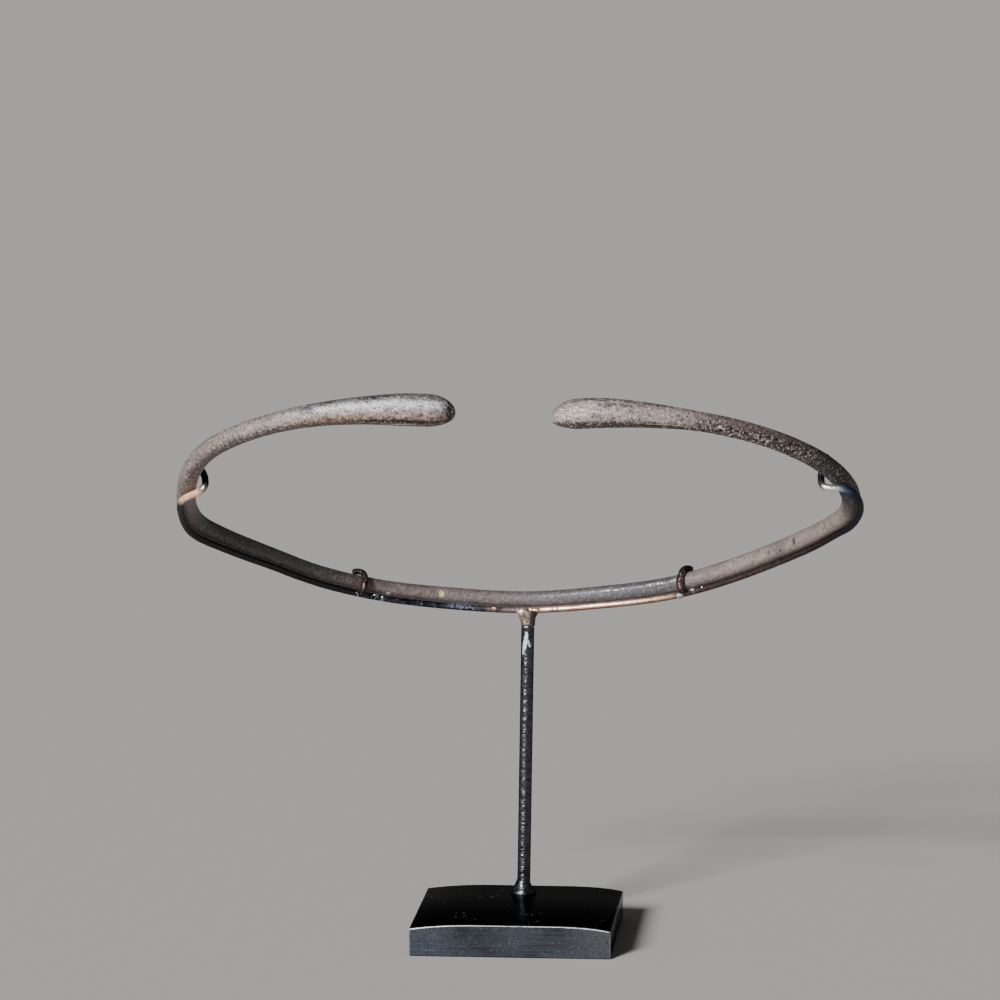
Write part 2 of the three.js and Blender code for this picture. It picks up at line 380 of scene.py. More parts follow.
# Marks on its skin. Where each is: distance from the left tip, angle round the bar with 0 outwards and
# 90 above, half length in millimetres, half width in degrees. Then how far the skin stands out there,
# the mark's colour and how fully it covers.
torcMarks = {
    # The creases are painted darker as shade, and the rim below the first crease and the ridge by the neck
    # are painted highlights.
    "crease": ((12.5, -71, 9.8, 11), -0.3, (38, 30, 28), 0.9),
    "creaseRim": ((11.8, -88, 6.0, 4.5), 0.0, (232, 222, 214), 0.85),
    "neckCrease": ((409, -74, 6, 7), -0.24, (50, 38, 34), 0.9),
    "underCrease": ((400, -96, 6, 8), -0.2, (44, 34, 30), 0.9),
    "neckRidge": ((405.5, -62, 8, 5), 0.12, (224, 206, 194), 0.75),
    "paleChip": ((196.3, -167, 0.85, 28), -0.22, (226, 208, 160), 0.9),
    "whiteDrop": ((183, -116, 0.8, 17), 0.12, (212, 216, 226), 0.9),
    "greenFleck": ((300, -165, 0.75, 28), -0.04, (64, 74, 72), 0.9),
    "smallFleckOne": ((294.3, -143, 0.45, 12), -0.05, (70, 70, 70), 0.8),
    "smallFleckTwo": ((290.2, -160, 0.6, 17), -0.05, (80, 76, 74), 0.7),
    "rim": ((357.5, 74, 0.55, 15), 0.3, (206, 200, 194), 0.9),
    "darkPatch": ((17.6, 36, 5.0, 15), 0.0, (66, 66, 74), 0.85),
    "darkPatchTwo": ((27.6, 40, 2.5, 14), 0.0, (72, 72, 80), 0.8),
    "bluePatch": ((32.8, 9, 2.7, 22), 0.0, (86, 94, 102), 0.8),
    "scratch": ((12.9, 8, 0.35, 17), -0.05, (226, 224, 226), 0.8),
    "topScratch": ((12.6, 32, 0.5, 6), -0.05, (214, 210, 210), 0.7),
    "olivePatch": ((421, -30, 1.6, 15), 0.0, (92, 94, 94), 0.65),
    "ochrePatch": ((421.6, 4, 1.1, 11), 0.0, (176, 152, 122), 0.5),
    "slatePatch": ((418.8, 13, 2.2, 12), 0.0, (84, 80, 92), 0.85),
    "slatePatchTwo": ((415.2, 14, 2.0, 12), 0.0, (88, 86, 94), 0.8),
}
# A mark's rim, as shares of its half size, and the largest cosine that an angle is taken from
markRim = {"ragged": 0.9, "ends": 1.05, "full": 0.6, "nearlyOne": 0.99999}
# The crust rises round the bar to the left of a place, by a share of the radius for each millimetre
crustRise = {"from": 388.0, "pace": 0.016, "most": 0.45, "ragged": 1.2, "edge": (-0.15, -0.45)}


# The torc's centreline at even steps: sideways, backwards and thickness.
def torcPath():
    stations = [(x, -forwards, thick) for x, forwards, thick in torcBar["stations"]]
    return evenly(smoothPath(stations), torcBar["pathSteps"])


torcLine = torcPath()


# Place, outward direction and thickness of the torc at a share of its length.
def torcAt(share):
    last = len(torcLine) - 1
    i = min(max(round(share * last), 1), last - 1)
    along = torcLine[i + 1, :2] - torcLine[i - 1, :2]
    along /= np.linalg.norm(along)
    return torcLine[i, :2], np.array((-along[1], along[0])), torcLine[i, 2]


# How much of a mark covers a place: 1 in its middle, 0 outside, with a ragged rim.
def markCover(along, facing, rag, where):
    place, angle, halfLength, halfWidth = where
    direction = (math.cos(math.radians(angle)), math.sin(math.radians(angle)), 0.0)
    turned = facing.vector("DOT_PRODUCT", facing, direction, take="Value").atMost(markRim["nearlyOne"])
    sideways = turned.maths("ARCCOSINE", turned) / math.radians(halfWidth)
    lengthways = (along - place) / halfLength
    distance = along.maths("SQRT", sideways * sideways + lengthways * lengthways)
    return (distance + (rag - 0.5) * markRim["ragged"]).step(markRim["ends"], markRim["full"])


# The stretch by the right terminal's neck where the lower side is eaten into a rough crust.
def crustCover(along, up, rag):
    higher = ((crustRise["from"] - along) * crustRise["pace"]).atLeast(0.0).atMost(crustRise["most"])
    level = up + (rag - 0.5) * crustRise["ragged"] - higher
    return along.within(torcZones["crust"]) * level.step(*crustRise["edge"])


# The crust's own lumps, fine enough for both its shape and its colours
def crustLumps(place):
    return place.scaled(0.8, 1, 1).noise(1.35, 3.0, 0.65)


# A grid wrapped round the path: rows are sections, columns go round each.
def writeTorc(start, given):
    path = start.node("GeometryNodeMeshToCurve", {}, {"Mesh": given["Geometry"]})
    length = start.node("GeometryNodeCurveLength", {}, {"Curve": path})
    counts = {"Vertices X": given["Sections"], "Vertices Y": given["Sides"]}
    grid = start.node("GeometryNodeMeshGrid", {}, {"Size X": 1.0, "Size Y": 1.0, **counts})
    gridX, gridY = start.node("GeometryNodeInputPosition").parts()[:2]
    row = gridX + 0.5
    angle = (gridY + 0.5) * (2 * math.pi)
    share = row - given["Crowding"] * start.maths("SINE", row * (2 * math.pi)) / (2 * math.pi)
    thick = start.node("GeometryNodeInputNamedAttribute", {"data_type": "FLOAT"}, {"Name": "thickness"})
    sample = start.node("GeometryNodeSampleCurve", {"data_type": "FLOAT", "mode": "FACTOR"},
                        {"Curves": path, "Value": thick, "Factor": share})
    centre, tangent = sample.other("Position"), sample.other("Tangent")
    outward = start.vector("NORMALIZE", start.vector("CROSS_PRODUCT", (0.0, 0.0, 1.0), tangent))
    across, up = start.maths("COSINE", angle), start.maths("SINE", angle)
    fromTip = share.atMost(1 - share) * length
    left = (1 - fromTip / given["Tip Length"]).atLeast(0.0)
    cap = start.maths("SQRT", (1 - left * left).atLeast(0.0))
    drooping = (1 - fromTip / given["Droop Length"]).atLeast(0.0)
    moreDroop = share.step(*torcBar["droopChange"]) * (given["Right Droop"] - given["Left Droop"])
    droop = drooping * drooping * (given["Left Droop"] + moreDroop)
    power = given["Squareness"]
    roundness = (across.size() ** power + up.size() ** power) ** (-1 / power)
    radius = sample * 0.5 * cap * roundness
    facing = start.node("ShaderNodeCombineXYZ", {}, {"X": across, "Y": up})
    barPlace = {"X": share * length, "Y": radius * across, "Z": radius * up}
    place = start.node("ShaderNodeCombineXYZ", {}, barPlace).scaled(1 / mm)
    along = place.parts()[0]
    rag = place.noise(0.8, 3.0)
    relief = 0.0
    for stretch, fineness, strength in torcBar["waves"]:
        wave = place.scaled(stretch, 1, 1).noise(fineness, 2.0) - 0.5
        relief = relief + wave * given["Unevenness"] * strength
    crust = crustCover(along, up, rag)
    holes = place.scaled(0.8, 1, 1).cells(1.3).step(0.5, 0.1) * place.noise(0.5, 1.0).step(0.36, 0.56)
    relief = relief + crust * ((crustLumps(place) - 0.5) * 0.5 - holes * given["Pit Depth"])
    for where, height, *look in torcMarks.values():
        if height:
            relief = relief + markCover(along, facing, rag, where) * height
    swollen = radius + relief * mm * cap
    moved = start.vector("ADD", centre, outward.times(swollen * across))
    risen = start.node("ShaderNodeCombineXYZ", {}, {"Z": swollen * up - droop})
    kept = grid.keeping("barPlace", place).keeping("facing", facing)
    position = start.vector("ADD", moved, risen)
    bent = start.node("GeometryNodeSetPosition", {}, {"Geometry": kept, "Position": position})
    distance = torcBar["mergeDistance"] * mm
    return start.node("GeometryNodeMergeByDistance", {}, {"Geometry": bent, "Distance": distance})


# Skin colours from the left tip to the right one; the near-black stretch from 0.785 to 0.84 is painted
# shade
patinaStops = [
    (0.0, (118, 105, 100)), (0.02, (148, 136, 132)), (0.09, (150, 139, 136)),
    (0.17, (152, 138, 134)), (0.225, (140, 127, 124)), (0.27, (92, 86, 85)),
    (0.37, (92, 87, 85)), (0.43, (128, 116, 113)), (0.49, (124, 114, 112)),
    (0.515, (104, 102, 106)), (0.59, (96, 97, 104)), (0.605, (136, 128, 126)),
    (0.64, (160, 146, 140)), (0.755, (176, 158, 150)), (0.77, (96, 88, 86)),
    (0.785, (48, 45, 46)), (0.84, (44, 41, 42)), (0.86, (96, 85, 82)),
    (0.915, (122, 108, 105)), (0.93, (160, 145, 141)), (1.0, (168, 155, 151)),
]

bronzeColours = {
    "dim": (76, 66, 64),
    "mottle": (84, 74, 72),
    # Left terminal: painted sheen, painted highlight band, brown, painted shade on top and end, painted
    # reflection
    "silverSheen": (154, 148, 149),
    "sheenBand": (218, 218, 223),
    "brown": (142, 113, 95),
    "grey": (104, 105, 110),
    "shadedEnd": (42, 36, 35),
    "rimReflection": (112, 112, 114),
    # Painted shade under the terminals
    "underShade": (52, 43, 40),
    "mottledTop": (78, 75, 82),
    "crust": (84, 70, 66),
    "glint": (236, 220, 212),
    "hollow": (30, 23, 22),
    "sparkle": (214, 212, 212),
    # A painted highlight streak and the painted glints along it
    "highlightLine": (168, 168, 174),
    "bead": (246, 247, 250),
    "paleGrain": (238, 226, 220),
    "darkGrain": (44, 36, 34),
    # Small nicks painted bright as glints
    "nickGlint": (246, 240, 236),
}


def bronzePatina(start):
    shades, zones, heights = bronzeColours, torcZones, torcHeights
    place = start.attribute("barPlace")
    facing = start.attribute("facing")
    along = place.parts()[0]
    across, up = facing.parts()[:2]
    rag = place.noise(0.8, 3.0)
    clouds = place.scaled(0.5, 1, 1).noise(0.2, 4.0, 0.6)
    mottles = place.noise(0.75, 4.0, 0.65)
    grain = place.noise(1.45, 4.0, 0.75)
    colour = ((along + (clouds - 0.5) * 14) / torcBar["length"]).ramp(patinaStops)
    colour = colour.layered(shades, {
        "dim": clouds.step(0.5, 0.3) * 0.4,
        "mottle": mottles.step(0.48, 0.36) * 0.45,
    })

    # The left terminal: a silvery painted sheen with a brighter painted highlight band on its upper side,
    # painted shade as grey on top and on its end, brown below, and a painted grey reflection at its point.
    terminal = along.within(zones["leftTerminal"])
    silverSheen = terminal * (up + (mottles - 0.5) * 1.1).step(*heights["silverSheen"])
    colour = colour.layered(shades, {
        "silverSheen": silverSheen * 0.8,
        "sheenBand": silverSheen * (up - 0.04 + (mottles - 0.5) * 0.8).size().step(0.34, 0.05) * 0.7,
        "brown": terminal * (up + (mottles - 0.5) * 1.1).step(*heights["brown"]) * 0.68,
        "grey": silverSheen * (up + (clouds - 0.5) * 1.2).step(*heights["grey"]) * 0.85,
        "shadedEnd": along.step(*zones["shadedEnd"]) * 0.9,
        "rimReflection": along.step(*zones["rimReflection"]) * 0.8,
    })

    # Painted shade under both terminals, and dark grey mottles along the top of the right one
    underShaded = along.step(*zones["leftUnderShade"]).atLeast(along.step(*zones["rightUnderShade"]))
    underShade = underShaded * (up + (grain - 0.5) * 1.1).step(*heights["underShade"])
    mottled = along.within(zones["mottledTop"]) * up.within(heights["mottledTop"])
    colour = colour.layered(shades, {
        "underShade": underShade * (0.6 + along.step(*zones["deeperUnderShade"]) * 0.25),
        "mottledTop": mottled * place.noise(0.38, 3.0).step(0.47, 0.55) * 0.75,
    })

    # The crust, with glints on its lumps and dark hollows between them
    crust = crustCover(along, up, rag)
    glints = place.scaled(0.8, 1, 1).noise(2.1, 3.0, 0.7).step(0.54, 0.6)
    sparkle = along.within(zones["sparkle"]) * up.step(*heights["sparkle"])
    colour = colour.layered(shades, {
        "crust": crust * 0.85,
        "glint": crust * glints * 0.95,
        "hollow": crust * crustLumps(place).step(0.5, 0.42),
        "sparkle": sparkle * grain.step(0.58, 0.63),
    })

    # A paler painted highlight streak along the inner face, right of the rod, with small bright painted
    # glints on it
    highlightLine = (up - 0.04 + (clouds - 0.5) * 0.4).size().step(0.2, 0.08) * across.step(0.0, -0.5)
    highlightLine = highlightLine * along.within(zones["highlightStreak"])
    colour = colour.over(shades["highlightLine"], highlightLine * 0.5)
    for where, height, shade, share in torcMarks.values():
        colour = colour.over(shade, markCover(along, facing, rag, where) * share)
    # Small painted glints along the highlight streak
    colour = colour.over(shades["bead"], place.noise(1.3, 1.0).step(0.58, 0.63) * highlightLine)

    # A fine grain lies over it all, with small nicks painted bright as glints.
    nearTips = along.step(*zones["nearLeftTip"]).atLeast(along.step(*zones["nearRightTip"]))
    colour = colour.layered(shades, {
        "paleGrain": grain.step(0.53, 0.66) * (nearTips * 0.4 + 0.22),
        "darkGrain": grain.step(0.48, 0.34) * (nearTips * 0.35 + 0.4),
        "nickGlint": place.noise(1.05, 1.0).step(0.745, 0.765) * (nearTips * 0.7 + 0.2),
    })
    smooth = silverSheen * 0.17 + glints * crust * 0.2 + along.step(*zones["smoothEnd"]) * 0.16
    return {
        "Base Color": colour,
        "Roughness": 0.5 + (grain - 0.5) * 0.3 - smooth,
        "Normal": bump(start, grain * 0.32 + mottles * 0.12),
    }


def makeTorc():
    material = makeMaterial("bronzePatina", bronzePatina, Metallic=0.4)
    tree = makeTree("torcLoft", {
        "Sections": torcBar["sections"] + 1,
        "Sides": torcBar["sides"] + 1,
        "Tip Length": torcBar["tipLength"] * mm,
        "Crowding": torcBar["crowding"],
        "Squareness": torcBar["squareness"],
        "Unevenness": torcBar["unevenness"],
        "Pit Depth": torcBar["pitDepth"],
        "Droop Length": torcBar["droopLength"] * mm,
        "Left Droop": torcBar["leftDroop"] * mm,
        "Right Droop": torcBar["rightDroop"] * mm,
        "Material": material,
    }, writeTorc)
    points = [(x * mm, y * mm, 0) for x, y in torcLine[:, :2]]
    mesh = grown(lineMesh("torcLine", points, torcLine[:, 2] * mm), tree)
    mesh.transform(ringMatrix())
    addPiece("torcBronze", mesh, material, "torc")


makeTorc()


# Wires: a polyline of even points made round, a little uneven, with softened ends

# The skin's waves, how fine and how strong, and the least square of the radius at an end, as a share
wireShape = {"waves": [(0.45, 1.0), (1.7, 0.7)], "least": 0.02}


def writeWire(start, given):
    curve = start.node("GeometryNodeMeshToCurve", {}, {"Mesh": given["Geometry"]})
    ring = start.node("GeometryNodeCurvePrimitiveCircle", {"mode": "RADIUS"},
                      {"Resolution": given["Sides"], "Radius": given["Diameter"] * 0.5})
    spline = start.node("GeometryNodeSplineParameter", {}, {}, "Length")
    length = start.node("GeometryNodeSplineLength")
    toEnd = spline.atMost(length - spline)
    left = (1 - toEnd / given["End Round"]).atLeast(0.0)
    scale = start.maths("SQRT", (1 - left * left).atLeast(wireShape["least"]))
    kept = curve.keeping("wireRun", spline / mm, "FLOAT")
    shape = {"Curve": kept, "Profile Curve": ring, "Scale": scale, "Fill Caps": True}
    mesh = start.node("GeometryNodeCurveToMesh", {}, shape)
    normal = start.node("GeometryNodeInputNormal")
    place = start.node("GeometryNodeInputPosition").scaled(1 / mm)
    relief = 0.0
    for fineness, strength in wireShape["waves"]:
        relief = relief + (place.noise(fineness, 2.0) - 0.5) * strength
    offset = normal.times(relief * given["Unevenness"])
    return start.node("GeometryNodeSetPosition", {}, {"Geometry": mesh, "Offset": offset})


# A wire through given points in millimetres, made even by a pace.
def wireMesh(points, diameter, material, endRound=0.5, unevenness=0.08, sides=24, pace=0.25):
    path = smoothPath(points)
    length = np.linalg.norm(np.diff(path, axis=0), axis=1).sum()
    tree = makeTree("roundWire", {
        "Diameter": diameter * mm,
        "Sides": sides,
        "End Round": endRound * mm,
        "Unevenness": unevenness * mm,
        "Material": material,
    }, writeWire)
    return grown(lineMesh("line", evenly(path, int(length / pace)) * mm), tree)


lumpShape = {"fineness": 3, "waves": 1.1, "push": 0.22}


# Lumps of braze on a wire: where along it each sits, its centre and its three half sizes.
def addLumps(mesh, lumps):
    work = bmesh.new()
    work.from_mesh(mesh)
    layer = work.verts.layers.float["wireRun"]
    for run, centre, halfSizes in lumps:
        stretch = Matrix.Diagonal((*(size * mm for size in halfSizes), 1.0))
        placed = Matrix.Translation(Vector(centre) * mm) @ stretch
        fineness = lumpShape["fineness"]
        made = bmesh.ops.create_icosphere(work, subdivisions=fineness, radius=1, matrix=placed)
        for vertex in made["verts"]:
            vertex[layer] = run
            push = noise.noise(vertex.co / mm * lumpShape["waves"]) * lumpShape["push"]
            vertex.co += (vertex.co - Vector(centre) * mm) * push
    work.to_mesh(mesh)
    work.free()


# Carrier bar and clips, in the ring's plane: sideways, forwards, above

cradle = {
    "leftHook": [
        (-69.9, 88.8, 2.2), (-69.5, 88.9, 1.4), (-69.1, 89.1, 0.4), (-68.9, 89.4, -0.6),
        (-68.8, 89.9, -1.7), (-69.1, 90.1, -2.7), (-70, 89.3, -3.2), (-71.6, 87.4, -3.2),
        (-73.4, 85.3, -3.2), (-74.9, 82.8, -3.2), (-75.8, 78.2, -3.2), (-76.1, 72.5, -3.2),
        (-76.1, 66.9, -3.2), (-75.4, 60.6, -3.2), (-73.6, 55.4, -3.15),
    ],
    "rightHook": [
        (71.5, 88, 1.1), (71.5, 88.1, 0.1), (71.5, 88.3, -0.9), (71.7, 88.7, -2.1),
        (72.4, 89.1, -2.9), (74, 89.2, -3.2), (76.2, 88.8, -3.2), (78.3, 86.9, -3.2),
        (79.8, 82.2, -3.2), (80.4, 75.4, -3.2), (79.8, 68.9, -3.2), (77.9, 61.9, -3.2),
        (74.9, 56.7, -3.15),
    ],
    "underFrom": 0.3,
    "underTo": 0.71,
    "underPoints": 20,
    "barDiameter": 1.6,
    "barGap": 0.2,
    "clipDiameter": 1.5,
    "clipGap": 0.12,
    "clipStart": 0.5,
    "leftClip": 0.4055,
    "rightClip": 0.6015,
    # how far each point of a clip is moved along the torc
    "leftClipLean": (0.5, 0.5, 0.7, 0.4, -0.3, -0.9),
    "rightClipLean": (0.1, 0.1, 0.4, 0.6, 0.6, 0.8),
    "leftClipDiameter": 1.45,
    "rightClipDiameter": 1.75,
    "clipWire": {"unevenness": 0.16, "pace": 0.12},
    "barLength": 280.5,
    "barSteps": 1200,
    # distances along the bar of the drops of spatter, painted bright as glints
    "spatter": [96.6, 101.2, 103.4, 179.0, 183.2],
    # distance along the bar, then sideways, forwards and above it; and the lump's half sizes
    "lumps": [
        ((96.6, 0.0, 0.5, -0.1), (1.0, 0.7, 0.55)), ((101.2, 0.2, 0.55, 0.1), (1.1, 0.6, 0.5)),
        ((103.4, 0.0, 0.5, 0.0), (0.8, 0.55, 0.4)), ((179.0, 0.0, 0.5, -0.3), (1.2, 0.7, 0.8)),
        ((183.2, 0.0, 0.5, 0.0), (1.3, 0.6, 0.65)), ((186.2, 0.0, 0.5, 0.1), (0.8, 0.5, 0.5)),
        ((138.6, 0.0, 0.45, -0.55), (1.8, 0.8, 1.25)), ((141.6, 0.0, 0.25, -0.2), (1.6, 0.8, 0.7)),
        ((146.5, 0.0, 0.1, 0.0), (1.5, 0.85, 0.8)), ((131.5, 0.0, 0.15, 0.0), (1.4, 0.8, 0.75)),
    ],
}


# A point beside the torc in the ring's plane: outwards from its centreline, and above it.
def besideTorc(share, outward, above):
    centre, direction = torcAt(share)[:2]
    x, y = centre + direction * outward
    return (x, y, above)


def barPoints():
    points = [(x, -forwards, above) for x, forwards, above in cradle["leftHook"]]
    for share in np.linspace(cradle["underFrom"], cradle["underTo"], cradle["underPoints"] + 1):
        level = -(torcAt(share)[2] + cradle["barDiameter"]) / 2 - cradle["barGap"]
        points.append(besideTorc(share, 0, level))
    return points + [(x, -forwards, above) for x, forwards, above in reversed(cradle["rightHook"])]


def clipPoints(share, lean):
    torcRadius = torcAt(share)[2] / 2
    reach = torcRadius + cradle["clipGap"] + cradle["clipDiameter"] / 2
    barLevel = -torcRadius - cradle["barGap"] - cradle["barDiameter"] / 2
    beside = (cradle["barDiameter"] + cradle["clipDiameter"]) / 2 + cradle["clipGap"]
    stations = [
        (-beside, barLevel - cradle["clipStart"]),
        (-reach, -reach * 0.5),
        (-reach, 0),
        (-reach * 0.75, reach * 0.7),
        (-reach * 0.15, reach),
        (reach * 0.3, reach * 0.97),
    ]
    shares = [share + shift / torcBar["length"] for shift in lean]
    return [besideTorc(moved, *station) for moved, station in zip(shares, stations)]


# Colours of the bar from its left prong to its right one. The near-white stretches at the left hook,
# right of the rod and at the right hook are painted highlights.
barTones = [
    (0.0, (62, 66, 76)), (0.018, (58, 62, 74)), (0.022, (246, 222, 206)),
    (0.052, (248, 228, 214)), (0.058, (92, 86, 84)), (0.15, (66, 64, 66)),
    (0.33, (66, 62, 63)), (0.36, (62, 63, 70)), (0.42, (66, 70, 80)),
    (0.455, (84, 88, 98)), (0.47, (158, 140, 138)), (0.488, (178, 156, 150)),
    (0.497, (234, 204, 186)), (0.52, (248, 220, 202)), (0.63, (240, 208, 188)),
    (0.642, (112, 98, 94)), (0.74, (104, 92, 92)), (0.83, (70, 66, 68)),
    (0.962, (50, 56, 70)), (0.968, (84, 116, 152)), (0.972, (150, 180, 206)),
    (0.976, (240, 236, 230)), (0.986, (236, 232, 226)), (0.989, (64, 68, 84)),
    (1.0, (92, 84, 84)),
]

# Stretches of the bar as shares of its length
barZones = {
    "hook": (0.021, 0.025, 0.05, 0.054),
    "bright": (0.462, 0.478, 0.634, 0.642),
    "warmBelow": (0.485, 0.51),
    "spatter": (0.33, 0.38, 0.465, 0.485),
    # Where glints are painted on the upper side
    "upperGlints": (0.425, 0.435, 0.448, 0.455),
    "granular": (0.636, 0.645, 0.78, 0.86),
}
barShades = {
    "copper": (214, 146, 98),
    "scorch": (96, 64, 52),
    "gold": (248, 176, 98),
    "peach": (236, 150, 108),
    "blueWhite": (190, 208, 236),
    "rust": (176, 122, 92),
    "scale": (30, 30, 34),
    # Painted shade in orange for the underside of the bright stretch
    "orangeUnderShade": (158, 88, 52),
    # Painted glints on the drops of spatter
    "dropGlint": (206, 218, 236),
    # Painted glints
    "upperGlints": (206, 216, 246),
    "paleGrit": (196, 184, 180),
    "brownGrit": (150, 108, 92),
    "darkGrit": (48, 42, 44),
}


def heatedWire(start):
    shades, zones = barShades, barZones
    place = start.meshPlace()
    run = start.attribute("wireRun", "Fac")
    clouds = place.noise(0.5, 4.0, 0.6)
    specks = place.noise(1.9, 3.0, 0.6)
    share = (run + (clouds - 0.5) * 3.0) / cradle["barLength"]
    colour = share.ramp(barTones)
    hook, bright = share.within(zones["hook"]), share.within(zones["bright"])
    patches = place.noise(0.9, 2.0)
    colour = colour.layered(shades, {
        "copper": (bright + hook) * clouds.step(0.53, 0.62) * 0.65,
        "scorch": (bright + hook) * specks.step(0.43, 0.3) * 0.8,
        "gold": hook * patches.step(0.49, 0.58) * 0.85,
        "peach": hook * patches.step(0.46, 0.38) * 0.8,
    })

    # Spatter left of the rod: blue-white and rusty specks on dark scale, and a few drops painted bright as
    # glints
    spatter = share.within(zones["spatter"])
    pale = specks.step(0.56, 0.61) * place.noise(0.7, 2.0).step(0.4, 0.55)
    rusty = specks.step(0.45, 0.4) * place.noise(0.8, 2.0).step(0.52, 0.6)
    low = start.node("ShaderNodeNewGeometry", take="Normal").parts()[2].step(-0.1, -0.6)
    colour = colour.layered(shades, {
        "blueWhite": spatter * pale,
        "rust": spatter * rusty * 0.7,
        "scale": spatter * clouds.step(0.52, 0.4) * 0.85,
        # Painted shade, in orange, on the underside of the bright stretch
        "orangeUnderShade": bright * share.step(*zones["warmBelow"]) * low * 0.6,
    })
    for dropPlace in cradle["spatter"]:
        dropGlint = (share * cradle["barLength"] - dropPlace).size().step(0.25, 0.1)
        colour = colour.over(shades["dropGlint"], dropGlint * specks.step(0.4, 0.5) * 0.9)

    # Painted glints on the upper side beside the rod; and by the right clip the bar is coarse and brown.
    upperGlints = share.within(zones["upperGlints"]) * specks.step(0.48, 0.56)
    granular = share.within(zones["granular"])
    colour = colour.layered(shades, {
        "upperGlints": upperGlints * (1 - low),
        "paleGrit": granular * specks.step(0.6, 0.7) * 0.8,
        "brownGrit": granular * clouds.step(0.55, 0.65) * 0.6,
        "darkGrit": granular * specks.step(0.47, 0.38) * 0.7,
    })
    return {
        "Base Color": colour,
        "Metallic": 0.95 - hook * 0.65,
        "Roughness": 0.42 - specks.step(0.5, 0.65) * 0.14,
        "Normal": bump(start, (specks * 0.12 + clouds * 0.08) * (1 - bright * 0.4)),
    }


# The clips: brown colours by noise, and the stretch in millimetres from their feet where a pinkish
# highlight is painted
clipColours = {
    "stops": [(0.0, (42, 35, 35)), (0.6, (62, 53, 52)), (1.0, (84, 73, 72))],
    "pinkHighlight": (136, 112, 110),
    "pinkHighlightZone": (0.8, 1.6, 5.6, 6.4),
    "speck": (146, 138, 138),
}


def browned(start):
    place = start.meshPlace()
    clouds = place.noise(0.9, 4.0, 0.6)
    specks = place.noise(2.2, 3.0, 0.6)
    colour = clouds.step(0.3, 0.7).ramp(clipColours["stops"])
    run = start.attribute("wireRun", "Fac")
    # A painted pinkish highlight near the feet
    pinkHighlight = run.within(clipColours["pinkHighlightZone"]) * clouds.step(0.45, 0.6)
    colour = colour.over(clipColours["pinkHighlight"], pinkHighlight * 0.6)
    colour = colour.over(clipColours["speck"], specks.step(0.62, 0.7) * 0.7)
    return {
        "Base Color": colour,
        "Roughness": 0.45 - specks.step(0.5, 0.65) * 0.12,
        "Normal": bump(start, specks * 0.1 + clouds * 0.1),
    }


# A place on the bar, so far from its left prong, moved by millimetres in the ring's plane and above it.
def onBar(line, run, sideways, forwards, above):
    x, y, z = line[round(run / cradle["barLength"] * (len(line) - 1))]
    return (x + sideways, y - forwards, z + above)


def makeCradle():
    wire = makeMaterial("heatedWire", heatedWire, Specular_Tint=(0.5, 0.5, 0.5, 1.0))
    brown = makeMaterial("brownedWire", browned, Metallic=0.9, Specular_Tint=(0.5, 0.5, 0.5, 1.0))
    points = barPoints()
    bar = wireMesh(points, cradle["barDiameter"], wire)
    line = evenly(smoothPath(points), cradle["barSteps"])
    addLumps(bar, [(place[0], onBar(line, *place), halfSizes) for place, halfSizes in cradle["lumps"]])
    bar.transform(ringMatrix())
    addPiece("carrierBarWire", bar, wire, "carrier_bar")
    for name, node in (("leftClip", "clip_left"), ("rightClip", "clip_right")):
        points = clipPoints(cradle[name], cradle[name + "Lean"])
        clip = wireMesh(points, cradle[name + "Diameter"], brown, **cradle["clipWire"])
        clip.transform(ringMatrix())
        addPiece(name + "Wire", clip, brown, node)


makeCradle()


# Block

block = {
    "side": 48.0,
    "edgeHeight": 6.65,
    "height": 7.75,
    "leftLevel": 8.0,
    "rightLevel": 10.0,
    "leftBend": 16.5,
    "rightBend": 19.5,
    "bottomRound": 0.6,
    "edgeRound": 0.22,
    "roundSteps": 3,
    "cornerClear": 1.5,
    "topSteps": 24,
    "sharpAngle": 30.0,
}
blockColours = {
    "scale": [(0.3, (20, 21, 24)), (0.7, (27, 28, 32))],
    "dust": (112, 114, 118),
    "brushed": [(0.42, (44, 46, 52)), (0.72, (71, 75, 84))],
    "rightEnd": (88, 88, 92),
    "leftEnd": (76, 82, 94),
    "darkSpeck": (36, 38, 43),
    "paleSpeck": (124, 127, 133),
    "edge": (212, 214, 218),
}
# Millimetres from the block's middle, its arched top or its side edge at which its looks change
blockZones = {
    "face": (-23.55, -23.8),
    "frontEdge": (-23.6, -23.75),
    "belowTop": (-0.26, -0.13),
    "cornerEdge": (23.7, 23.9),
    "sideEdge": (23.6, 23.85),
    "belowSide": (-0.5, -0.2),
    "rightEnd": (8.0, 22.0),
    "leftEnd": (-9.0, -21.0),
}


# A quarter turn from one side of a corner to the other.
def cornerArc(corner, start, end, steps=4):
    corner, start, end = (np.array(p, float) for p in (corner, start, end))
    shares = np.linspace(0, 1, steps + 1)
    return [tuple((1 - t) ** 2 * start + 2 * t * (1 - t) * corner + t**2 * end) for t in shares]


# One side of the block's outline seen from the front, from its underside to the level part.
def halfOutline(inset, level, bend):
    half = block["side"] / 2 - inset
    edge, top = block["edgeHeight"] - inset, block["height"] - inset
    rise, soft = block["bottomRound"], block["edgeRound"]
    slope = (top - edge) / (half - bend)
    points = cornerArc((half, inset), (half - rise, inset), (half, inset + rise))
    points += cornerArc((half, edge), (half, edge - soft), (half - soft, edge + soft * slope), 3)
    for t in np.linspace(0, 1, block["topSteps"] + 1)[1:]:
        x = (1 - t) ** 2 * half + 2 * t * (1 - t) * bend + t**2 * level
        if x < half - soft * block["cornerClear"]:
            points.append((x, (1 - t) ** 2 * edge + (1 - (1 - t) ** 2) * top))
    return points


def blockOutline(inset):
    right = halfOutline(inset, block["rightLevel"], block["rightBend"])
    left = halfOutline(inset, block["leftLevel"], block["leftBend"])
    return right + [(-x, z) for x, z in reversed(left)]


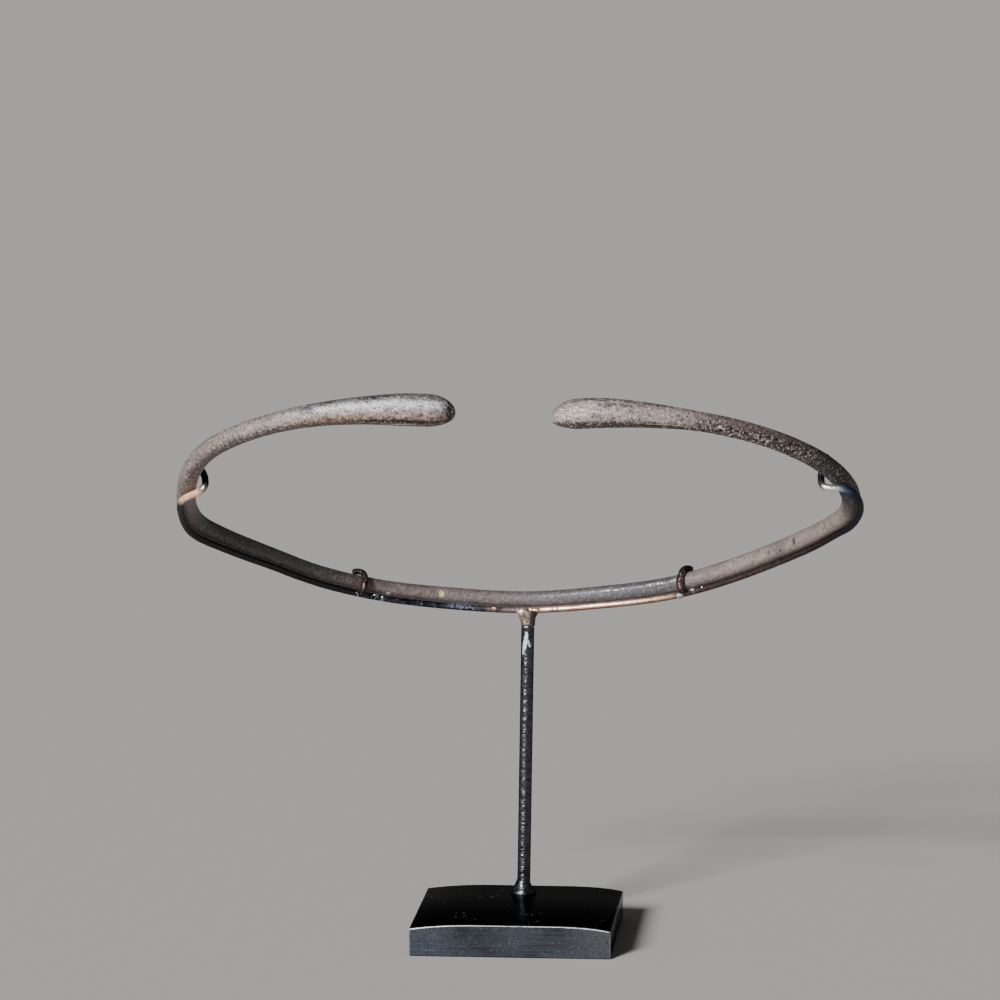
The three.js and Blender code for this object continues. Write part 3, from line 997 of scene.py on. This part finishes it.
# The block's front face is bare brushed steel, the rest is blacked; its front edges are worn bright.
def blackedSteel(start):
    shades, zones = blockColours, blockZones
    place = start.meshPlace()
    x, y, z = place.parts()
    marks = place.scaled(0.06, 1.0, 5.0).noise(1.0, 4.0, 0.65)
    fine = place.noise(2.4, 3.0, 0.6)
    clouds = place.noise(0.13, 3.0)
    half, left, right = block["side"] / 2, block["leftLevel"], block["rightLevel"]
    sunk = ((x - right) / (half - right)).atLeast((-left - x) / (half - left)).atLeast(0.0)
    archTop = block["height"] - sunk * sunk * (block["height"] - block["edgeHeight"])
    face = y.step(*zones["face"])
    colour = clouds.ramp(shades["scale"])
    dust = place.noise(1.2, 1.0).step(0.71, 0.745) * (1 - face) * clouds.step(0.52, 0.56)
    colour = colour.over(shades["dust"], dust)
    brushed = (marks * 0.7 + clouds * 0.5).ramp(shades["brushed"])
    brushed = brushed.layered(shades, {
        "rightEnd": x.step(*zones["rightEnd"]) * 0.6,
        "leftEnd": x.step(*zones["leftEnd"]) * 0.5,
        "darkSpeck": fine.step(0.46, 0.36) * 0.5,
        "paleSpeck": fine.step(0.6, 0.7) * 0.45,
    })
    colour = colour.over(brushed, face)
    edge = y.step(*zones["frontEdge"]) * (z - archTop).step(*zones["belowTop"])
    edge = edge.atLeast(face * x.size().step(*zones["cornerEdge"]) * 0.6)
    sideTop = (z - block["edgeHeight"]).step(*zones["belowSide"])
    edge = edge.atLeast(x.size().step(*zones["sideEdge"]) * sideTop * 0.3)
    colour = colour.over(shades["edge"], edge * (0.7 + (fine - 0.5) * 1.4))
    return {
        "Base Color": colour,
        "Metallic": 1 - dust,
        "Roughness": 0.24 + face * 0.2 + (marks - 0.5) * face * 0.2,
        "Normal": bump(start, marks * face * 0.03 + fine * face * 0.02),
    }


# A closed mesh from rings of points in millimetres, one after another, with its two ends filled.
def ringMesh(name, rings):
    mesh = bpy.data.meshes.new(name)
    count = len(rings[0])
    points = [Vector(p) * mm for ring in rings for p in ring]
    faces = []
    for r in range(len(rings) - 1):
        for i in range(count):
            j = (i + 1) % count
            faces.append((r * count + i, r * count + j, (r + 1) * count + j, (r + 1) * count + i))
    faces.append(tuple(range(count)))
    faces.append(tuple((len(rings) - 1) * count + i for i in range(count)))
    mesh.from_pydata(points, [], faces)
    return mesh


def makeBlock():
    half, soft = block["side"] / 2, block["edgeRound"]
    turns = np.linspace(0, math.pi / 2, block["roundSteps"] + 1)
    insets = [(half - soft * (1 - math.sin(a)), soft * (1 - math.cos(a))) for a in turns]
    stations = [(-depth, inset) for depth, inset in reversed(insets)] + insets
    rings = [[(x, depth, z) for x, z in blockOutline(inset)] for depth, inset in stations]
    steel = makeMaterial("blackedSteel", blackedSteel, Specular_Tint=(0.45, 0.45, 0.47, 1.0))
    piece = addPiece("standBlock", ringMesh("block", rings), steel, "stand_base")
    piece.data.set_sharp_from_angle(angle=math.radians(block["sharpAngle"]))


makeBlock()


# Rod, foot weld and braze

# Where the rod stands on the block, and how many degrees it leans to the right
upright = {"foot": (0.15, 15.4), "lean": 0.85}

rod = {
    "diameter": 3.175,
    "bottom": 7.85,
    "top": 74.0,
    # how far it reaches into the block and into the braze
    "overlap": 0.3,
    "shares": (0, 0.33, 0.66, 1),
    "wire": {"endRound": 0.05, "unevenness": 0.04, "sides": 40, "pace": 0.5},
    # bare flakes: sideways, height, half width, half length, sideways for each millimetre of height
    "flakes": [(-0.5, 69.5, 0.5, 2.75, 0.18), (0.42, 69.4, 0.36, 1.2, -0.33)],
    "flakeSide": (15.6, 15.2),
    "bandZone": (73.2, 73.35, 73.6, 73.75),
}
rodColours = {
    "scale": [(0.3, (60, 61, 66)), (0.7, (98, 101, 108))],
    "flake": (206, 222, 238),
    "band": (172, 178, 180),
}

# Each bead stands a gap off the rod's own surface, and its closing faces lie a little beyond its ends.
# Its waves are counts round it, sizes and phases; they turn with each millimetre of height.
beadTurn = 1.3
weld = {
    "diameter": 6.2,
    "height": 3.2,
    "curve": 1.35,
    "gap": 0.02,
    "inside": 0.15,
    "close": 0.05,
    "steps": 15,
    "sides": 64,
    "waves": [(2, 0.02, 0.4), (5, 0.012, 1.9), (9, 0.006, 0.7)],
}
braze = {
    "length": 5.2,
    "width": 4.2,
    "height": 3.5,
    "curve": 1.2,
    "spread": 1.1,
    "gap": 0.04,
    "middle": 0.02,
    "close": 0.1,
    "steps": 13,
    "sides": 48,
    "waves": [(2, 0.04, 1.1), (3, 0.05, 0.3), (7, 0.02, 1.7)],
}
brazeColours = {
    "stops": [(0.35, (122, 104, 98)), (0.65, (176, 158, 150))],
    "pale": (216, 204, 196),
    "dark": (74, 60, 56),
    # Painted shade on its right side, and the sideways millimetres over which it sets in
    "rightShade": (62, 56, 55),
    "rightShadeSide": (1.5, 2.3),
}


def uprightMatrix():
    x, y = upright["foot"]
    leaning = Matrix.Rotation(math.radians(upright["lean"]), 4, "Y")
    return Matrix.Translation((x * mm, y * mm, 0)) @ leaning


# Near-black scale with a grainy skin, two bare flakes near the top of the rod and a pale band above.
def rodSteel(start):
    place = start.meshPlace()
    x, y, z = place.parts()
    grain = place.scaled(0.6, 0.6, 1.0).noise(1.6, 3.0, 0.6)
    bands = place.scaled(0.55, 0.55, 1.0).noise(0.75, 2.0, 0.6)
    beside = x - upright["foot"][0] - z * math.tan(math.radians(upright["lean"]))
    rag = (place.noise(1.6, 2.0) - 0.5) * 0.7
    flake = 0.0
    for middle, height, halfWidth, halfLength, slant in rod["flakes"]:
        sideways = (beside - middle - (z - height) * slant) / halfWidth
        lengthways = (z - height) / halfLength
        distance = start.maths("SQRT", sideways * sideways + lengthways * lengthways) + rag
        flake = distance.step(1.05, 0.9).atLeast(flake)
    flake = flake * y.step(*rod["flakeSide"])
    band = z.within(rod["bandZone"]) * place.noise(0.8, 2.0).step(0.42, 0.52)
    marked = {"flake": flake, "band": band * 0.7}
    return {
        "Base Color": grain.ramp(rodColours["scale"]).layered(rodColours, marked),
        "Roughness": 0.3 + grain * 0.1 + flake * 0.3,
        "Normal": bump(start, grain * 0.08 + bands * 0.42),
    }


def brazeMetal(start):
    place = start.meshPlace()
    clouds = place.noise(0.9, 3.0)
    specks = place.noise(2.4, 3.0, 0.6)
    # Painted shade on the braze's right side, away from the light
    rightShade = (place.parts()[0] + (clouds - 0.5) * 2).step(*brazeColours["rightShadeSide"])
    colour = clouds.ramp(brazeColours["stops"]).layered(brazeColours, {
        "pale": specks.step(0.58, 0.68) * 0.7,
        "dark": specks.step(0.42, 0.32) * 0.6,
        "rightShade": rightShade * 0.8,
    })
    return {
        "Base Color": colour,
        "Roughness": 0.42 + (specks - 0.5) * 0.2,
        "Normal": bump(start, specks * 0.25 + clouds * 0.25),
    }


# A bead turned round the upright's axis from pairs of radius and height, pushed in and out by its waves
# and stretched sideways by height.
def beadMesh(name, bead, profile, stretch=lambda height: 1.0):
    rings = []
    for radius, height in profile:
        ring = []
        for i in range(bead["sides"]):
            angle = 2 * math.pi * i / bead["sides"]
            push = 1
            for count, size, phase in bead["waves"]:
                push += size * math.sin(count * angle + phase + height * beadTurn)
            x, y = radius * push * math.cos(angle), radius * push * math.sin(angle)
            ring.append((x * stretch(height), y, height))
        rings.append(ring)
    return ringMesh(name, rings)


def makeRod(steel):
    low, high = rod["bottom"] - rod["overlap"], rod["top"] + rod["overlap"]
    points = [(0, 0, low + (high - low) * share) for share in rod["shares"]]
    mesh = wireMesh(points, rod["diameter"], steel, **rod["wire"])
    mesh.transform(uprightMatrix())
    addPiece("standRodSteel", mesh, steel, "stand_rod")


def makeWeld(steel):
    radius = rod["diameter"] / 2
    grow, inside = weld["diameter"] / 2 - radius, radius - weld["inside"]
    profile = [(inside, -weld["close"])]
    for t in np.linspace(0, 1, weld["steps"]):
        profile.append((radius + weld["gap"] + grow * (1 - t) ** weld["curve"], t * weld["height"]))
    profile.append((inside, weld["height"] + weld["close"]))
    mesh = beadMesh("weld", weld, profile)
    x, y = upright["foot"]
    mesh.transform(Matrix.Translation((x * mm, y * mm, block["height"] * mm)))
    addPiece("footWeldBead", mesh, steel, "foot_weld")


def makeBraze():
    metal = makeMaterial("brazeMetal", brazeMetal, Metallic=0.85, Specular_Tint=(0.6, 0.6, 0.6, 1.0))
    radius, bottom, tall = rod["diameter"] / 2, rod["top"] - rod["overlap"], braze["height"]
    grow, wide = braze["width"] / 2 - radius, braze["length"] / braze["width"] - 1
    profile = [(braze["middle"], bottom)]
    for t in np.linspace(0, 1, braze["steps"]):
        profile.append((radius + braze["gap"] + grow * t ** braze["curve"], bottom + tall * t))
    profile.append((braze["middle"], bottom + tall + braze["close"]))

    def stretch(height):
        return 1 + wide * max(0.0, (height - bottom) / tall) ** braze["spread"]

    mesh = beadMesh("braze", braze, profile, stretch)
    mesh.transform(uprightMatrix())
    addPiece("topBrazeLump", mesh, metal, "top_braze")


def makeUpright():
    steel = makeMaterial("rodSteel", rodSteel, Metallic=1.0, Specular_Tint=(0.3, 0.3, 0.3, 1.0))
    makeRod(steel)
    makeWeld(steel)
    makeBraze()


makeUpright()


# Floor and light

studio = {
    "floorSize": 12.0,
    "floorColour": (186, 184, 181),
    "floorRoughness": 0.8,
    "world": (0.07, (1.0, 1.0, 1.0)),
    # where it shines from, strength, angle across, colour
    "key": ((-0.415, -0.814, 0.407), 6.4, 16.0, (1.0, 0.985, 0.97)),
}


def makeStudio():
    bpy.ops.mesh.primitive_plane_add(size=studio["floorSize"])
    floor = bpy.context.object
    floor.name = "paleFloor"
    grey = paint(studio["floorColour"])
    pale = makeMaterial("paleFloor", lambda start: {}, Base_Color=grey, Roughness=studio["floorRoughness"])
    floor.data.materials.append(pale)
    place, strength, across, colour = studio["key"]
    data = bpy.data.lights.new("key", "SUN")
    data.energy, data.angle, data.color = strength, math.radians(across), colour
    lamp = bpy.data.objects.new("key", data)
    lamp.rotation_euler = (-Vector(place)).to_track_quat("-Z", "Y").to_euler()
    bpy.context.collection.objects.link(lamp)
    world = bpy.data.worlds.new("studio")
    world.use_nodes = True
    strength, colour = studio["world"]
    sky = world.node_tree.nodes["Background"].inputs
    sky["Strength"].default_value = strength
    sky["Color"].default_value = (*colour, 1.0)
    bpy.context.scene.world = world


makeStudio()
print("studio lit")
